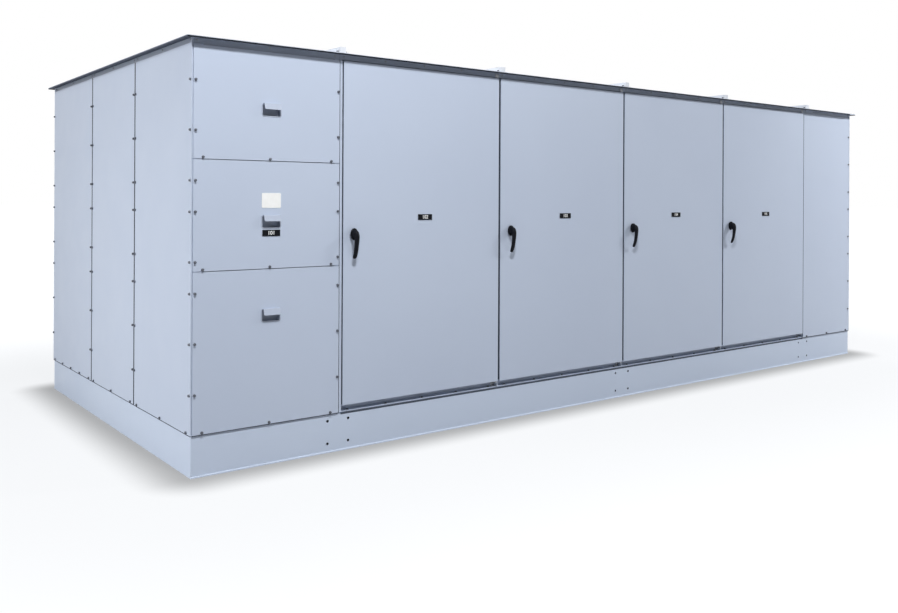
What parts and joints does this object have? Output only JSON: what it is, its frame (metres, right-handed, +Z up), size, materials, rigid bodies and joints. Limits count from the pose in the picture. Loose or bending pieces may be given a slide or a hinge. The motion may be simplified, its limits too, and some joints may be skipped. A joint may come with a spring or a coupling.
{
  "type": "medium-voltage switchgear line-up",
  "caption": "Outdoor metal-enclosed switchgear line-up: bolted control covers beside full-height hinged doors with lever handles, on a channel base under a flat sheet roof with seam caps.",
  "frame": {"origin": "centre of the overall box, on the ground", "axes": "+Z up, +X along the line-up to the right, the front faces -Y"},
  "size_m": [6.631, 2.895, 2.3435],
  "materials": {
    "enclosure_paint": "satin light blue-grey powder coat",
    "roof_paint": "satin light blue-grey powder coat",
    "base_paint": "satin light blue-grey paint",
    "handle_black": "satin black",
    "zinc_steel": "zinc plated"
  },
  "bodies": {
    "enclosure": {"base_front_rail": "base_paint", "base_rear_rail": "base_paint", "base_left_rail": "base_paint", "base_right_rail": "base_paint", "base_cross_rails": "base_paint", "floor_plates": "base_paint", "front_posts": "enclosure_paint", "rear_posts": "enclosure_paint", "end_posts": "enclosure_paint", "section_walls": "enclosure_paint", "door_sills": "enclosure_paint", "door_heads": "enclosure_paint", "front_header": "enclosure_paint", "rear_header": "enclosure_paint", "left_header": "enclosure_paint", "right_header": "enclosure_paint", "roof_1": "roof_paint", "roof_2": "roof_paint", "roof_3": "roof_paint", "roof_4": "roof_paint", "roof_5": "roof_paint", "roof_6": "roof_paint", "roof_caps": "roof_paint", "lower_cover": "enclosure_paint", "middle_cover": "enclosure_paint", "upper_cover": "enclosure_paint", "lower_pull": "enclosure_paint", "middle_pull": "enclosure_paint", "upper_pull": "enclosure_paint", "end_cover": "enclosure_paint", "left_panel_1": "enclosure_paint", "left_panel_2": "enclosure_paint", "left_panel_3": "enclosure_paint", "right_panel_1": "enclosure_paint", "right_panel_2": "enclosure_paint", "right_panel_3": "enclosure_paint", "rear_panels": "enclosure_paint", "hinge_brackets": "zinc_steel"},
    "door_1": {"door_1": "enclosure_paint"},
    "handle_1": {"handle_1": "handle_black"},
    "door_2": {"door_2": "enclosure_paint"},
    "handle_2": {"handle_2": "handle_black"},
    "door_3": {"door_3": "enclosure_paint"},
    "handle_3": {"handle_3": "handle_black"},
    "door_4": {"door_4": "enclosure_paint"},
    "handle_4": {"handle_4": "handle_black"}
  },
  "joints": [
    {"name": "door_1_hinge", "type": "hinge", "parent": "enclosure", "child": "door_1", "pos_m": [-1.1925, -1.3715, 0.264], "axis": [0, 0, 1], "range_deg": [0, 100]},
    {"name": "handle_1_turn", "type": "hinge", "parent": "door_1", "child": "handle_1", "pos_m": [-2.3045, -1.3815, 1.26], "axis": [0, -1, 0], "range_deg": [0, 90]},
    {"name": "door_2_hinge", "type": "hinge", "parent": "enclosure", "child": "door_2", "pos_m": [0.0265, -1.3715, 0.264], "axis": [0, 0, 1], "range_deg": [0, 100]},
    {"name": "handle_2_turn", "type": "hinge", "parent": "door_2", "child": "handle_2", "pos_m": [-1.0855, -1.3815, 1.26], "axis": [0, -1, 0], "range_deg": [0, 90]},
    {"name": "door_3_hinge", "type": "hinge", "parent": "enclosure", "child": "door_3", "pos_m": [1.2455, -1.3715, 0.264], "axis": [0, 0, 1], "range_deg": [0, 100]},
    {"name": "handle_3_turn", "type": "hinge", "parent": "door_3", "child": "handle_3", "pos_m": [0.1335, -1.3815, 1.26], "axis": [0, -1, 0], "range_deg": [0, 90]},
    {"name": "door_4_hinge", "type": "hinge", "parent": "enclosure", "child": "door_4", "pos_m": [2.4565, -1.3715, 0.264], "axis": [0, 0, 1], "range_deg": [0, 100]},
    {"name": "handle_4_turn", "type": "hinge", "parent": "door_4", "child": "handle_4", "pos_m": [1.3525, -1.3815, 1.26], "axis": [0, -1, 0], "range_deg": [0, 90]}
  ]
}
